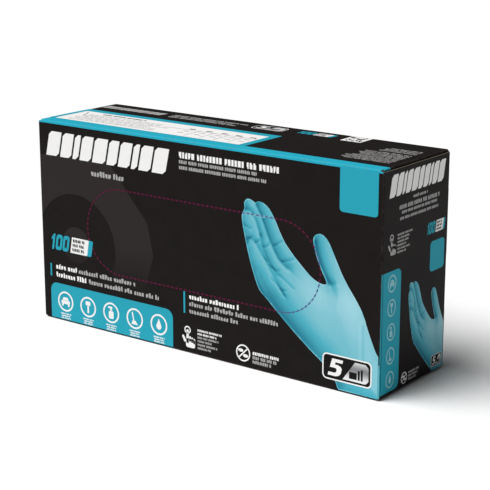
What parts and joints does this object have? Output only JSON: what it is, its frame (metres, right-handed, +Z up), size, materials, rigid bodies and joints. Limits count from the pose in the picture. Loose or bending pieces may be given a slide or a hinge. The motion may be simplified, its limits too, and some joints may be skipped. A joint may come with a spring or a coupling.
{
  "type": "disposable glove dispenser carton",
  "caption": "Printed paperboard carton standing on its long edge, with a round-ended tear-out window in the wide front and glued double flaps at both ends.",
  "frame": {"origin": "centre of the carton's footprint, on the surface it stands on", "axes": "+X along the carton's length, to the right seen from the front; +Y from the front to the back; +Z up"},
  "size_m": [0.24, 0.067, 0.122],
  "materials": {
    "printed_board": "coated, semi-gloss print",
    "hot_melt": "gloss",
    "nitrile": "satin"
  },
  "bodies": {
    "carton": {"front_panel": "printed_board", "top_panel": "printed_board", "back_panel": "printed_board", "bottom_panel": "printed_board", "glue_flap": "printed_board", "seam_glue": "hot_melt", "glove_layer_01": "nitrile", "glove_layer_02": "nitrile", "glove_layer_03": "nitrile", "glove_layer_04": "nitrile", "glove_layer_05": "nitrile", "glove_layer_06": "nitrile", "glove_layer_07": "nitrile", "glove_layer_08": "nitrile", "glove_layer_09": "nitrile"},
    "tear_out": {"tear_out_panel": "printed_board"},
    "first_glove": {"first_glove": "nitrile"},
    "right_outer_flap": {"right_outer_flap": "printed_board", "right_outer_glue": "hot_melt"},
    "right_inner_flap": {"right_inner_flap": "printed_board", "right_inner_glue": "hot_melt"},
    "right_top_dust_flap": {"right_top_dust_flap": "printed_board"},
    "right_bottom_dust_flap": {"right_bottom_dust_flap": "printed_board"},
    "left_outer_flap": {"left_outer_flap": "printed_board", "left_outer_glue": "hot_melt"},
    "left_inner_flap": {"left_inner_flap": "printed_board", "left_inner_glue": "hot_melt"},
    "left_top_dust_flap": {"left_top_dust_flap": "printed_board"},
    "left_bottom_dust_flap": {"left_bottom_dust_flap": "printed_board"}
  },
  "joints": [
    {"name": "window_tear_out", "type": "slide", "parent": "carton", "child": "tear_out", "axis": [0, -1, 0], "range_m": [0, 0.16]},
    {"name": "first_glove_pull", "type": "slide", "parent": "carton", "child": "first_glove", "axis": [0, -1, 0], "range_m": [0, 0.08]},
    {"name": "right_end_open", "type": "hinge", "parent": "carton", "child": "right_outer_flap", "pos_m": [0.1192, -0.0327, 0.061], "axis": [0, 0, -1], "range_deg": [0, 120]},
    {"name": "right_inner_flap_turn", "type": "hinge", "parent": "carton", "child": "right_inner_flap", "pos_m": [0.11855, 0.0327, 0.061], "axis": [0, 0, 1], "range_deg": [0, 91]},
    {"name": "right_top_dust_turn", "type": "hinge", "parent": "carton", "child": "right_top_dust_flap", "pos_m": [0.1179, 0, 0.1212], "axis": [0, -1, 0], "range_deg": [0, 61]},
    {"name": "right_bottom_dust_turn", "type": "hinge", "parent": "carton", "child": "right_bottom_dust_flap", "pos_m": [0.1179, 0, 0.0008], "axis": [0, 1, 0], "range_deg": [0, 61]},
    {"name": "left_end_open", "type": "hinge", "parent": "carton", "child": "left_outer_flap", "pos_m": [-0.1192, -0.0327, 0.061], "axis": [0, 0, 1], "range_deg": [0, 120]},
    {"name": "left_inner_flap_turn", "type": "hinge", "parent": "carton", "child": "left_inner_flap", "pos_m": [-0.11855, 0.0327, 0.061], "axis": [0, 0, -1], "range_deg": [0, 91]},
    {"name": "left_top_dust_turn", "type": "hinge", "parent": "carton", "child": "left_top_dust_flap", "pos_m": [-0.1179, 0, 0.1212], "axis": [0, 1, 0], "range_deg": [0, 61]},
    {"name": "left_bottom_dust_turn", "type": "hinge", "parent": "carton", "child": "left_bottom_dust_flap", "pos_m": [-0.1179, 0, 0.0008], "axis": [0, -1, 0], "range_deg": [0, 61]}
  ],
  "couplings": [
    {"joint": "first_glove_pull", "follows": "window_tear_out", "ratio": 0.45},
    {"joint": "right_inner_flap_turn", "follows": "right_end_open", "ratio": 0.75},
    {"joint": "right_top_dust_turn", "follows": "right_end_open", "ratio": 0.5},
    {"joint": "right_bottom_dust_turn", "follows": "right_end_open", "ratio": 0.5},
    {"joint": "left_inner_flap_turn", "follows": "left_end_open", "ratio": 0.75},
    {"joint": "left_top_dust_turn", "follows": "left_end_open", "ratio": 0.5},
    {"joint": "left_bottom_dust_turn", "follows": "left_end_open", "ratio": 0.5}
  ]
}
